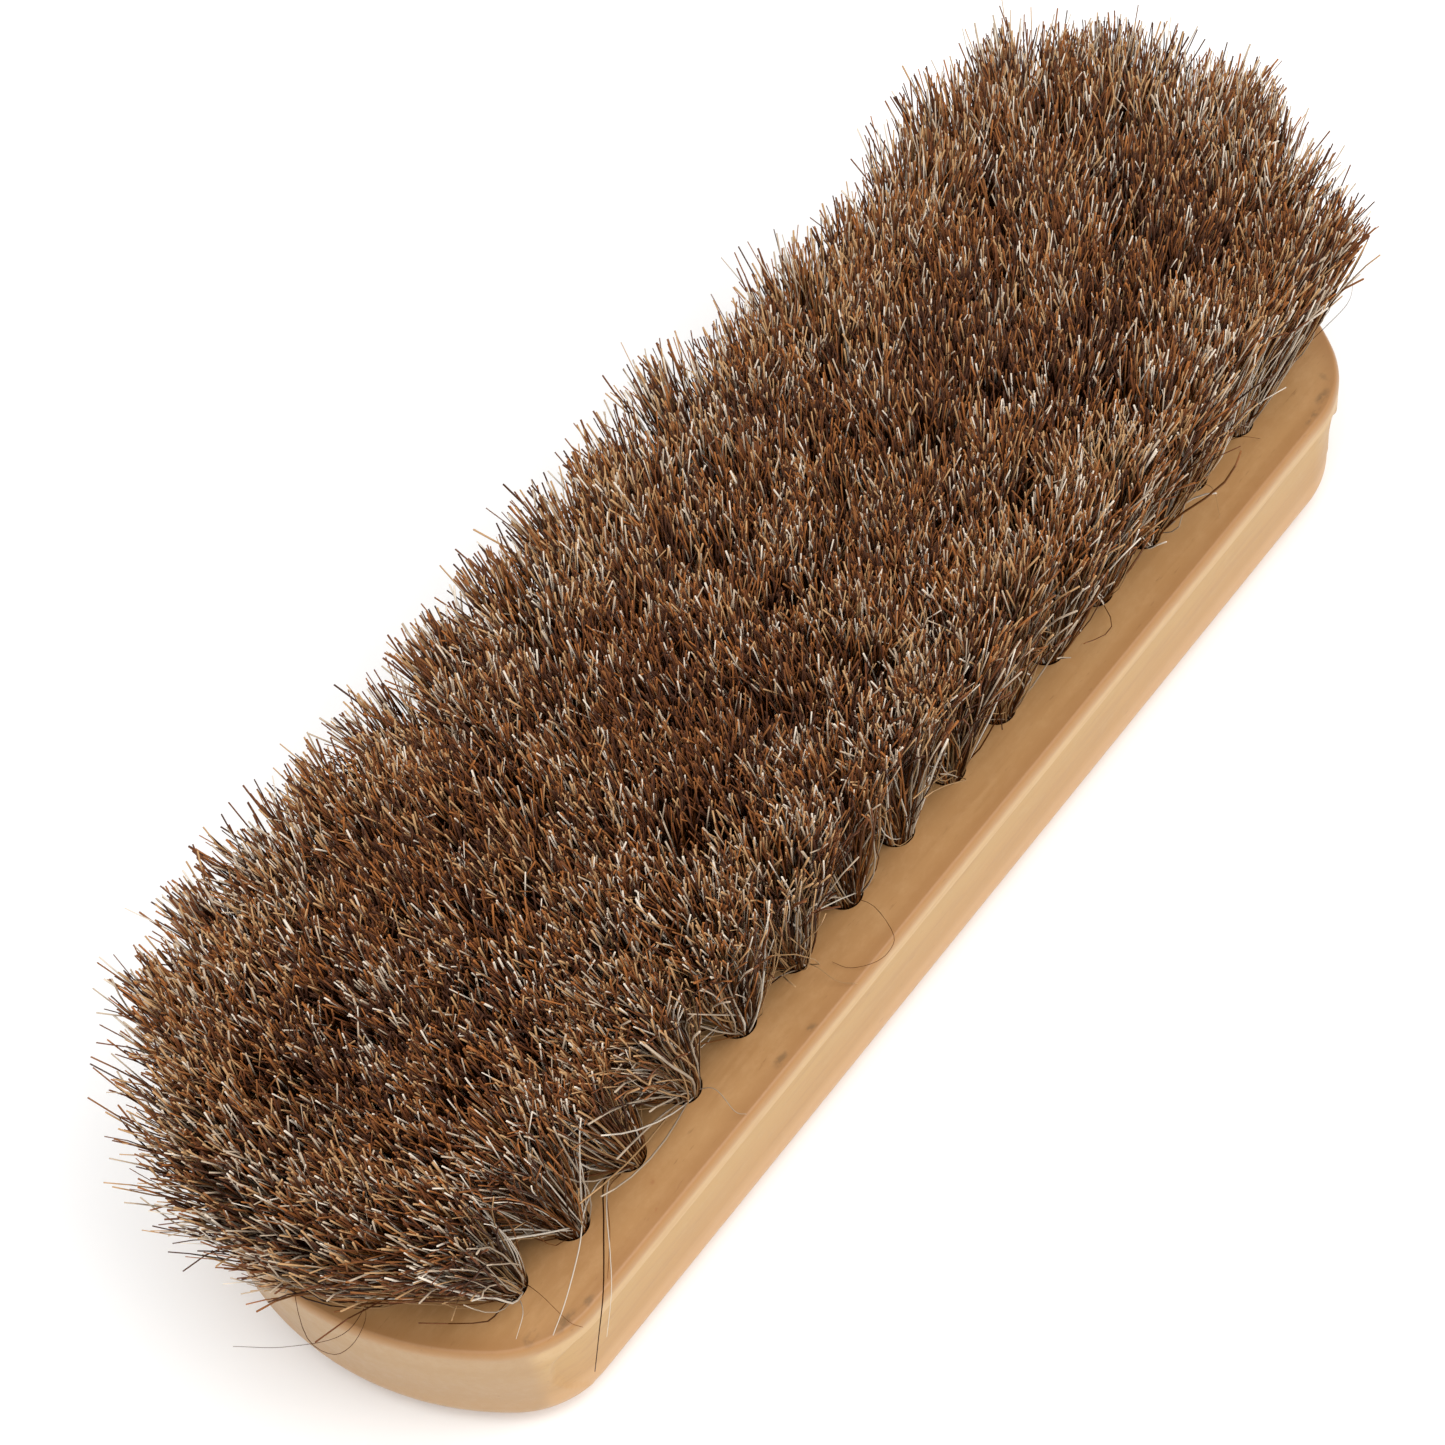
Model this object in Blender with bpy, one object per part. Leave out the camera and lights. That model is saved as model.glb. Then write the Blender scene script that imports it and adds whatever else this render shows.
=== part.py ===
"""Wooden block brush with folded horsehair tufts, lying on its back with the bristles up.

A one-piece hardwood block is drilled with blind holes in five staggered rows. Each hole
holds one folded tuft of horsehair. The tufts of the outer ring are separate bodies and
splay outwards; the inner ones run into their neighbours above the wood, so they are
bundles of two or three tufts with one stem in each hole.

Units are metres. +X runs along the block, +Z points from the back to the bristle tips, and
the origin is the middle of the flat back.
"""

import math

import bmesh
import bpy
from mathutils import Vector

# ---- driving dimensions -------------------------------------------------------------
BLOCK_LENGTH = 0.171
BLOCK_WIDTH = 0.0538
BLOCK_THICK = 0.0206
NOSE_SAG = 0.0118          # how far the middle of an end stands past the ends of its arc
CORNER_RADIUS = 0.0127     # plan radius where an end meets a long side
FACE_EDGE_RADIUS = 0.0007
BACK_EDGE_RADIUS = 0.0050

# Finger recess along each long side, below a lip that keeps the full outline. The wall faces
# along X at 0 degrees and along Y at 90; the recess runs out as the wall turns into an end.
# Each row: depth below the face, inset, angle where it has run out at the -X and +X ends.
RECESS = (
    (0.0030, 0.00000, 74.0, 75.0), (0.0033, 0.00075, 71.0, 72.0),
    (0.0040, 0.00085, 67.0, 68.0), (0.0052, 0.00078, 60.0, 63.0),
    (0.0072, 0.00075, 57.0, 58.0), (0.0095, 0.00075, 56.0, 49.0),
    (0.0130, 0.00078, 60.0, 48.0), (0.0156, 0.00078, 70.0, 50.0),
)
RECESS_RAMP = 7.0          # degrees over which the tongue's end fades out

HOLE_RADIUS = 0.00225
HOLE_DEPTH = 0.0120
HOLE_PITCH = 0.00956       # along the block
ROW_SPACING = 0.00933      # across the block
CORNER_INSET = 0.00095     # the four corner holes sit this much further in
CENTRE_ROW_REACH = 0.0770  # x of the last hole of the middle row

BRISTLE_HEIGHT = 0.0250    # tips above the drilled face
SPLAY_X = 0.092            # widening of the bristle field at the tips, as a share
SPLAY_Y = 0.130
DRIFT_Y = 0.0019           # the whole field leans this far to +Y at the tips
DRIFT_TURN = 0.014         # and a little less of it towards +X, per metre of x
CLEARANCE = 0.0003         # kept between bodies that touch in the real brush
MERGE_HEIGHT = 0.0078      # inner tufts have run together above this height

FACE_Z = BLOCK_THICK
TIP_Z = FACE_Z + BRISTLE_HEIGHT


# ---- scene and materials ------------------------------------------------------------
def clear_scene():
    for obj in list(bpy.data.objects):
        bpy.data.objects.remove(obj, do_unlink=True)


def principled(name, colour, roughness, metallic=0.0):
    material = bpy.data.materials.new(name)
    material.use_nodes = True
    shader = material.node_tree.nodes["Principled BSDF"]
    shader.inputs["Base Color"].default_value = (*colour, 1.0)
    shader.inputs["Roughness"].default_value = roughness
    shader.inputs["Metallic"].default_value = metallic
    material.diffuse_color = (*colour, 1.0)
    return material


def wood_material():
    """Pale varnished hardwood."""
    return principled("varnished_wood", (0.55, 0.31, 0.14), 0.38)


def hair_material(name, x, y):
    """Dark brown horsehair; each tuft is a shade lighter or darker than the next."""
    shade = 1.0 + 0.22 * math.sin(173.0 * x + 411.0 * y)
    return principled(name + "_hair", (0.115 * shade, 0.066 * shade, 0.038 * shade), 0.62)


def add_object(name, bm, material, parent=None):
    bmesh.ops.recalc_face_normals(bm, faces=bm.faces)
    mesh = bpy.data.meshes.new(name)
    bm.to_mesh(mesh)
    bm.free()
    mesh.materials.append(material)
    mesh.shade_smooth()
    mesh.set_sharp_from_angle(angle=math.radians(35))
    obj = bpy.data.objects.new(name, mesh)
    bpy.context.scene.collection.objects.link(obj)
    obj.parent = parent
    return obj


def loft(bm, rings):
    """Skins closed rings of equal length from bottom to top and caps both ends."""
    loops = [[bm.verts.new(p) for p in ring] for ring in rings]
    count = len(loops[0])
    for low, high in zip(loops, loops[1:]):
        for i in range(count):
            j = (i + 1) % count
            bm.faces.new((low[i], low[j], high[j], high[i]))
    bm.faces.new(list(reversed(loops[0])))
    bm.faces.new(loops[-1])


# ---- block --------------------------------------------------------------------------
def block_outline(nose_steps=9, corner_steps=13, side_steps=2):
    """Plan outline, anticlockwise from the +X nose: points with their outward normals."""
    half_width = BLOCK_WIDTH / 2
    nose_radius = (NOSE_SAG ** 2 + half_width ** 2) / (2 * NOSE_SAG)
    nose_x = BLOCK_LENGTH / 2 - nose_radius
    corner_y = half_width - CORNER_RADIUS
    corner_x = nose_x + math.sqrt((nose_radius - CORNER_RADIUS) ** 2 - corner_y ** 2)
    join = math.atan2(corner_y, corner_x - nose_x)

    quarter = []
    for i in range(nose_steps + 1):
        a = join * i / nose_steps
        quarter.append((nose_x + nose_radius * math.cos(a), nose_radius * math.sin(a), a))
    for i in range(1, corner_steps + 1):
        a = join + (math.pi / 2 - join) * i / corner_steps
        quarter.append((corner_x + CORNER_RADIUS * math.cos(a),
                        corner_y + CORNER_RADIUS * math.sin(a), a))
    side = [(corner_x * (1 - 2 * i / side_steps), half_width, math.pi / 2)
            for i in range(1, side_steps)]

    upper = quarter + side + [(-x, y, math.pi - a) for x, y, a in reversed(quarter)]
    lower = [(-x, -y, a + math.pi) for x, y, a in upper[1:-1]]
    return [(Vector((x, y)), Vector((math.cos(a), math.sin(a)))) for x, y, a in upper + lower]


def smoothstep(t):
    t = min(max(t, 0.0), 1.0)
    return t * t * (3 - 2 * t)


def recess_inset(point, normal, row):
    """Inset of the finger recess at one row of RECESS, none once the wall faces an end."""
    _, inset, end_low, end_high = row
    facing = math.degrees(math.asin(min(1.0, abs(normal.y))))
    end = end_high if point.x > 0 else end_low
    return inset * smoothstep((facing - end) / RECESS_RAMP)


def block_levels():
    """(height, plan inset of the rounded edge, row of RECESS) from the back to the face."""
    levels = []
    for i in range(5):
        a = math.radians(90 * i / 4)
        levels.append((BACK_EDGE_RADIUS * (1 - math.cos(a)),
                       BACK_EDGE_RADIUS * (1 - math.sin(a)), RECESS[-1]))
    for row in reversed(RECESS[:-1]):
        levels.append((FACE_Z - row[0], 0.0, row))
    for i in range(3):
        a = math.radians(90 * i / 2)
        levels.append((FACE_Z - FACE_EDGE_RADIUS * (1 - math.sin(a)),
                       FACE_EDGE_RADIUS * (1 - math.cos(a)), RECESS[0]))
    return levels


def make_hole_cutter(holes):
    """All the drills as one hidden mesh: a flat-bottomed blind hole at each place."""
    bm = bmesh.new()
    for x, y, sides in holes:
        rings = []
        for z in (FACE_Z - HOLE_DEPTH, FACE_Z + 0.002):
            rings.append([(x + HOLE_RADIUS * math.cos(2 * math.pi * i / sides),
                           y + HOLE_RADIUS * math.sin(2 * math.pi * i / sides), z)
                          for i in range(sides)])
        loft(bm, rings)
    cutter = add_object("hole_cutter", bm, principled("cutter", (0.5, 0.5, 0.5), 0.5))
    cutter.hide_render = True
    cutter.display_type = "WIRE"
    return cutter


def make_block(holes, parent):
    outline = block_outline()
    rings = []
    for z, inset, row in block_levels():
        ring = []
        for point, normal in outline:
            p = point - normal * (inset + recess_inset(point, normal, row))
            ring.append((p.x, p.y, z))
        rings.append(ring)
    bm = bmesh.new()
    loft(bm, rings)
    block = add_object("wood_block", bm, wood_material(), parent)
    drill = block.modifiers.new("drilled holes", "BOOLEAN")
    drill.operation = "DIFFERENCE"
    drill.solver = "EXACT"
    drill.object = make_hole_cutter(holes)
    return block


# ---- tuft places --------------------------------------------------------------------
def staggered_rows():
    """{row: [x of each hole]}; row 0 is the middle one, 2 and -2 are the outer ones."""
    side = [(i + 0.5) * HOLE_PITCH for i in range(-8, 8)]
    between = [i * HOLE_PITCH for i in range(-8, 9)]
    step = 2 * CENTRE_ROW_REACH / 15
    centre = [-CENTRE_ROW_REACH + i * step for i in range(16)]
    return {-2: side, -1: between, 0: centre, 1: between, 2: side}


def hole_centre(row, x, xs):
    """A hole's place on the face; the corner holes follow the rounded corners."""
    y = row * ROW_SPACING
    if abs(row) == 2 and x in (xs[0], xs[-1]):
        y -= math.copysign(CORNER_INSET, row)
        x -= math.copysign(CORNER_INSET * 0.5, x)
    return x, y


# ---- tufts --------------------------------------------------------------------------
def spread(x, y, height):
    """Where a point of the face goes at a height above it, as the bristles splay and lean."""
    s = max(height, 0.0) / BRISTLE_HEIGHT
    return x * (1 + SPLAY_X * s), y * (1 + SPLAY_Y * s) + (DRIFT_Y - DRIFT_TURN * x) * s


def cell_ring(centre, half_x, half_y, z, fill, squareness, sides):
    """A superellipse inside a tuft's or bundle's cell, which widens with the splay."""
    a = (half_x - CLEARANCE / 2) * fill
    b = (half_y - CLEARANCE / 2) * fill
    ring = []
    for i in range(sides):
        t = 2 * math.pi * (i + 0.5) / sides
        c, n = math.cos(t), math.sin(t)
        x = centre[0] + a * math.copysign(abs(c) ** (2 / squareness), c)
        y = centre[1] + b * math.copysign(abs(n) ** (2 / squareness), n)
        ring.append((*spread(x, y, z - FACE_Z), z))
    return ring


def stem_ring(x, y, radius, z, sides):
    return [(x + radius * math.cos(2 * math.pi * (i + 0.5) / sides),
             y + radius * math.sin(2 * math.pi * (i + 0.5) / sides), z)
            for i in range(sides)]


def make_single_tuft(name, hole, cell, pitch, parent, sides=10):
    """One folded tuft: a plug in its hole that fans out to fill its cell."""
    plug = HOLE_RADIUS - CLEARANCE
    half_x, half_y = pitch / 2, ROW_SPACING / 2
    rings = [
        stem_ring(*hole, plug, FACE_Z - HOLE_DEPTH + CLEARANCE, sides),
        stem_ring(*hole, plug, FACE_Z, sides),
        cell_ring(cell, half_x, half_y, FACE_Z + 0.36 * BRISTLE_HEIGHT, 0.84, 2.4, sides),
        cell_ring(cell, half_x, half_y, FACE_Z + 0.80 * BRISTLE_HEIGHT, 1.0, 3.2, sides),
        cell_ring(cell, half_x, half_y, TIP_Z, 0.95, 3.0, sides),
    ]
    bm = bmesh.new()
    loft(bm, rings)
    return add_object(name, bm, hair_material(name, *cell), parent)


def make_bundle(name, holes, row, pitch, parent, sides=8):
    """Two or three neighbouring tufts that have run together above the wood."""
    y = row * ROW_SPACING
    middle = (sum(x for x in holes) / len(holes), y)
    half_x, half_y = pitch * len(holes) / 2, ROW_SPACING / 2
    mass = bmesh.new()
    loft(mass, [
        cell_ring(middle, half_x, half_y, FACE_Z + MERGE_HEIGHT, 0.95, 6.0, 12),
        cell_ring(middle, half_x, half_y, FACE_Z + 0.80 * BRISTLE_HEIGHT, 1.0, 7.0, 12),
        cell_ring(middle, half_x, half_y, TIP_Z, 0.96, 6.0, 12),
    ])
    bundle = add_object(name, mass, hair_material(name, *middle), parent)

    stems = bmesh.new()
    top = FACE_Z + MERGE_HEIGHT + 0.0012
    for x in holes:
        plug = HOLE_RADIUS - CLEARANCE
        loft(stems, [
            stem_ring(x, y, plug, FACE_Z - HOLE_DEPTH + CLEARANCE, sides),
            stem_ring(x, y, plug, FACE_Z, sides),
            stem_ring(*spread(x, y, top - FACE_Z), 0.0040, top, sides),
        ])
    cutter = add_object(name + "_stems", stems, hair_material(name + "_stems", *middle))
    cutter.hide_render = True
    cutter.display_type = "WIRE"
    union = bundle.modifiers.new("stems", "BOOLEAN")
    union.operation = "UNION"
    union.solver = "EXACT"
    union.object = cutter
    return bundle


def bundle_sizes(count):
    """Splits a run of tufts into threes, ending with twos where they don't divide."""
    sizes = []
    while count:
        size = 3 if count not in (2, 4) else 2
        sizes.append(size)
        count -= size
    return sizes


def make_tufts(parent):
    """Outer ring one by one, inner tufts in bundles; returns every hole with its sides."""
    side_names = {-2: "right", 2: "left", -1: "inner_right", 1: "inner_left", 0: "middle"}
    holes = []
    for row, xs in staggered_rows().items():
        pitch = xs[1] - xs[0]
        label = side_names[row]
        ring = range(len(xs)) if abs(row) == 2 else (0, len(xs) - 1)
        for i in ring:
            hole = hole_centre(row, xs[i], xs)
            name = f"tuft_{label}_{i + 1:02d}"
            make_single_tuft(name, hole, (xs[i], row * ROW_SPACING), pitch, parent)
            holes.append((*hole, 12))
        if abs(row) == 2:
            continue
        start = 1
        for number, size in enumerate(bundle_sizes(len(xs) - 2), 1):
            group = xs[start:start + size]
            make_bundle(f"bundle_{label}_{number:02d}", group, row, pitch, parent)
            holes += [(x, row * ROW_SPACING, 8) for x in group]
            start += size
    return holes


def main():
    clear_scene()
    root = bpy.data.objects.new("brush", None)
    bpy.context.scene.collection.objects.link(root)
    holes = make_tufts(root)
    make_block(holes, root)


main()
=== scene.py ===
"""Looks of the wooden block brush: varnished hardwood block, wire anchors and horsehair tufts.

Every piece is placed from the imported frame: the block's box gives the drilled face, and the
hole pattern follows the same few driving dimensions as the solids. Units are metres.
"""
import math

import bmesh
import bpy
import numpy as np
from mathutils import Matrix, Vector


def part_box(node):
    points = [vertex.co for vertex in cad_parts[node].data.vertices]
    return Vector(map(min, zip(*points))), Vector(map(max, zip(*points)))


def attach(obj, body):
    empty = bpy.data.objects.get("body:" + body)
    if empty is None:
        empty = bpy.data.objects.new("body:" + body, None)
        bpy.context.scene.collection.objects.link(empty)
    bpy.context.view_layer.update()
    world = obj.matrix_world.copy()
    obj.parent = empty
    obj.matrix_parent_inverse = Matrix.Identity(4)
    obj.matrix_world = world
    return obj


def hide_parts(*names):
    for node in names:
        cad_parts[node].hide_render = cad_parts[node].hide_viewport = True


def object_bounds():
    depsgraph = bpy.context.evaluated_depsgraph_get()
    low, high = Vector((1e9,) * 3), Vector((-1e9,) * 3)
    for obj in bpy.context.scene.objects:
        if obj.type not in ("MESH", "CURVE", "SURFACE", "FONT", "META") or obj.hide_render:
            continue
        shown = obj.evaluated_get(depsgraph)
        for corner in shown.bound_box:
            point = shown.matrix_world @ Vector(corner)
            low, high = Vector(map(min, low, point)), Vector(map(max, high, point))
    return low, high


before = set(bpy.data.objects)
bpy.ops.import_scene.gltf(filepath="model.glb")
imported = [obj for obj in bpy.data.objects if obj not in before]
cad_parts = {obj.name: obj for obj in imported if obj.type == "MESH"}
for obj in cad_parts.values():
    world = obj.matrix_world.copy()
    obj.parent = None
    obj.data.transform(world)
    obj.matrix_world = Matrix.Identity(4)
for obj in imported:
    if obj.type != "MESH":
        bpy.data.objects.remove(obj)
cad_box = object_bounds()

rng = np.random.default_rng(25)  # a seed kept from several, for an even bristle field

# ---- dimensions ---------------------------------------------------------------------
_, BLOCK_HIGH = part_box("wood_block")
FACE_Z = BLOCK_HIGH.z
HALF_LENGTH = BLOCK_HIGH.x
HALF_WIDTH = BLOCK_HIGH.y
BRISTLE_HEIGHT = cad_box[1].z - FACE_Z

NOSE_SAG = 0.0118
CORNER_RADIUS = 0.0127
FACE_EDGE_DROP = 0.0014    # the rim is an elliptical quarter: this tall
FACE_EDGE_INSET = 0.0007   # and this wide
BACK_EDGE_RADIUS = 0.0050
# Finger recess along each side, below a lip that keeps the full outline: depth below the
# face, inset, and the wall angle at which it has run out at the -X and +X ends
RECESS = (
    (0.00300, 0.00000, 74.0, 75.0), (0.00310, 0.00018, 73.0, 74.0),
    (0.00325, 0.00055, 72.0, 73.0), (0.00345, 0.00080, 70.5, 72.0),
    (0.0040, 0.00086, 67.0, 68.0), (0.0052, 0.00080, 60.0, 63.0),
    (0.0072, 0.00076, 57.0, 58.0), (0.0095, 0.00075, 56.0, 49.0),
    (0.0130, 0.00078, 60.0, 48.0), (0.0156, 0.00078, 70.0, 50.0), (0.0206, 0.00060, 84.0, 56.0),
)
RECESS_RAMP = 6.0
END_TAPER = 0.0006         # the wall draws in this much towards the back, or more in the recess
HOLE_RADIUS = 0.00225
HOLE_DEPTH = 0.0120
HOLE_PITCH = 0.00956       # along every row but the centre one
ROW_SPACING = 0.00933
CORNER_INSET = 0.00095     # the corner holes stand in this much from their row's line
CENTRE_ROW_REACH = 0.0770  # from the middle to the last hole of the centre row
ANCHOR_DEPTH = 0.0108      # of the fold, below the drilled face

# How the trimmed bristle field differs from the hole pattern
SPLAY_X = 0.092            # wider by this share along the brush
SPLAY_Y = 0.13             # and across it
SHIFT_X = 0.0004
DRIFT_Y = 0.0019           # the whole field leans to +Y
DRIFT_TURN = 0.014         # and turns a little
FAR_CORNER_DRAW = 0.055    # the +X -Y corner is drawn in along X by this share
NEAR_CORNER_DRAW = 0.070   # and the -X +Y corner by this one
NEAR_CORNER_SHIFT = 0.0024  # which also shifts to -Y
END_SWEEP = 0.0032         # the -X end of the near side is swept to +Y

# Hairs
HAIRS_PER_TUFT = 600
HAIR_RADIUS = 0.000090
HAIR_RADIUS_SPREAD = 0.000022
HAIR_SIDES = 4
HAIR_STEPS = np.array([0.0, 0.08, 0.19, 0.34, 0.52, 0.71, 0.87, 1.0])
LOCKS_PER_TUFT = 12
LOCK_LEAN = 0.0018
LOCK_LEAN_LIMIT = 0.0021
TUFT_LEAN = 0.0008
TUFT_LEAN_LIMIT = 0.0009
UNRULY_SHARE = {"outer": 0.16, "inner": 0.05}


# ---- shader helpers -----------------------------------------------------------------
def new_material(name, roughness=0.5, colour=(0.8, 0.8, 0.8), **sockets):
    material = bpy.data.materials.new(name)
    material.use_nodes = True
    shader = material.node_tree.nodes["Principled BSDF"]
    shader.inputs["Base Color"].default_value = (*colour, 1.0)
    shader.inputs["Roughness"].default_value = roughness
    for socket, value in sockets.items():
        shader.inputs[socket.replace("_", " ")].default_value = value
    return material, material.node_tree, shader


class Graph:
    """Short names for the nodes that the wood materials are built from."""

    def __init__(self, tree):
        self.tree = tree
        self.coords = tree.nodes.new("ShaderNodeTexCoord").outputs["Object"]

    def node(self, kind, inputs=(), **settings):
        n = self.tree.nodes.new(kind)
        for key, value in settings.items():
            setattr(n, key, value)
        for key, value in dict(inputs).items():
            if isinstance(value, bpy.types.NodeSocket):
                self.tree.links.new(value, n.inputs[key])
            else:
                n.inputs[key].default_value = value
        return n

    def stretch(self, scale, shift=(0, 0, 0)):
        return self.node("ShaderNodeMapping", {"Vector": self.coords,
                         "Scale": scale, "Location": shift}).outputs[0]

    def noise(self, vector, scale, detail=4.0, roughness=0.55, distortion=0.0):
        return self.node("ShaderNodeTexNoise", {"Vector": vector, "Scale": scale,
                         "Detail": detail, "Roughness": roughness,
                         "Distortion": distortion}).outputs["Fac"]

    def ramp(self, value, low, high, out_low=0.0, out_high=1.0):
        return self.node("ShaderNodeMapRange", {"Value": value, "From Min": low,
                         "From Max": high, "To Min": out_low, "To Max": out_high},
                         interpolation_type="SMOOTHSTEP").outputs[0]

    def math(self, operation, a, b=0.0):
        return self.node("ShaderNodeMath", {0: a, 1: b}, operation=operation).outputs[0]

    def mix(self, factor, a, b):
        n = self.node("ShaderNodeMix", data_type="RGBA")
        for socket, value in (("Factor", factor), ("A", a), ("B", b)):
            slot = next(i for i in n.inputs if i.name == socket
                        and i.type == ("VALUE" if socket == "Factor" else "RGBA"))
            if isinstance(value, bpy.types.NodeSocket):
                self.tree.links.new(value, slot)
            else:
                slot.default_value = value if socket == "Factor" else (*value, 1.0)
        return next(o for o in n.outputs if o.type == "RGBA")


def outline_distance(g):
    """Distance in from the block's plan outline, for the darker orange along its edges."""
    xyz = g.node("ShaderNodeSeparateXYZ", {"Vector": g.coords}).outputs
    radius = (NOSE_SAG ** 2 + HALF_WIDTH ** 2) / (2 * NOSE_SAG)
    along = g.math("MAXIMUM", g.math("SUBTRACT", g.math("ABSOLUTE", xyz[0]),
                                     HALF_LENGTH - radius), 0.0)
    spoke = g.node("ShaderNodeVectorMath", {0: g.node("ShaderNodeCombineXYZ", {
        "X": along, "Y": xyz[1]}).outputs[0]}, operation="LENGTH").outputs["Value"]
    to_nose = g.math("SUBTRACT", radius, spoke)
    to_side = g.math("SUBTRACT", HALF_WIDTH, g.math("ABSOLUTE", xyz[1]))
    return g.node("ShaderNodeMath", {0: to_nose, 1: to_side, 2: 0.004},
                  operation="SMOOTH_MIN").outputs[0], xyz[2]


def spots(g, places, wobble):
    """A soft mask of small round or stretched marks at the given places on the face."""
    total = None
    for x, y, rx, ry in places:
        at = g.node("ShaderNodeMapping", {
            "Vector": wobble, "Location": (-x / rx, -y / ry, -FACE_Z / rx),
            "Scale": (1 / rx, 1 / ry, 1 / rx)}).outputs[0]
        reach = g.node("ShaderNodeVectorMath", {0: at}, operation="LENGTH").outputs["Value"]
        mark = g.ramp(reach, 0.25, 1.0, 1.0, 0.0)
        total = mark if total is None else g.math("MAXIMUM", total, mark)
    return total


# Wood colours (linear), from the drilled face out to the rounded edges
# The wall colours are paler for a painted reflection of the bright floor, the lip colour is a
# painted highlight and the back edge colour a painted floor reflection
WOOD = {
    "face_low": (0.400, 0.205, 0.075), "face_high": (0.455, 0.245, 0.095),
    "cloud": (0.480, 0.275, 0.115), "grain": (0.330, 0.155, 0.048),
    "wall": (0.470, 0.282, 0.093), "wall_low": (0.428, 0.228, 0.060),
    "lip": (0.570, 0.372, 0.172),
    "mottle": (0.540, 0.320, 0.145), "rim": (0.345, 0.165, 0.055),
    "back_edge_reflection": (0.590, 0.345, 0.163), "end_grain": (0.375, 0.220, 0.092),
    "fleck": (0.220, 0.095, 0.034), "knot": (0.300, 0.075, 0.022),
    "smudge": (0.060, 0.050, 0.030),
}

# Small marks on the drilled face: (x, y, half length, half width)
PIN_KNOTS = (
    (-0.0532, -0.0226, 0.0007, 0.0006), (-0.0554, -0.0250, 0.0005, 0.0003),
    (0.0031, -0.0224, 0.0004, 0.0004), (0.0312, 0.0247, 0.0006, 0.0006),
    (0.0741, 0.0103, 0.0006, 0.0005),
)
SMUDGES = (
    (-0.0742, -0.0233, 0.0014, 0.0010), (-0.0706, -0.0250, 0.0022, 0.0008),
    (-0.0675, -0.0255, 0.0012, 0.0006), (-0.0340, -0.0250, 0.0016, 0.0007),
    (-0.0294, -0.0254, 0.0014, 0.0006), (0.0712, -0.0247, 0.0020, 0.0007),
    (0.0680, -0.0253, 0.0022, 0.0006), (0.0738, -0.0232, 0.0007, 0.0012),
    (0.0660, 0.0248, 0.0030, 0.0009),
)


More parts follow.
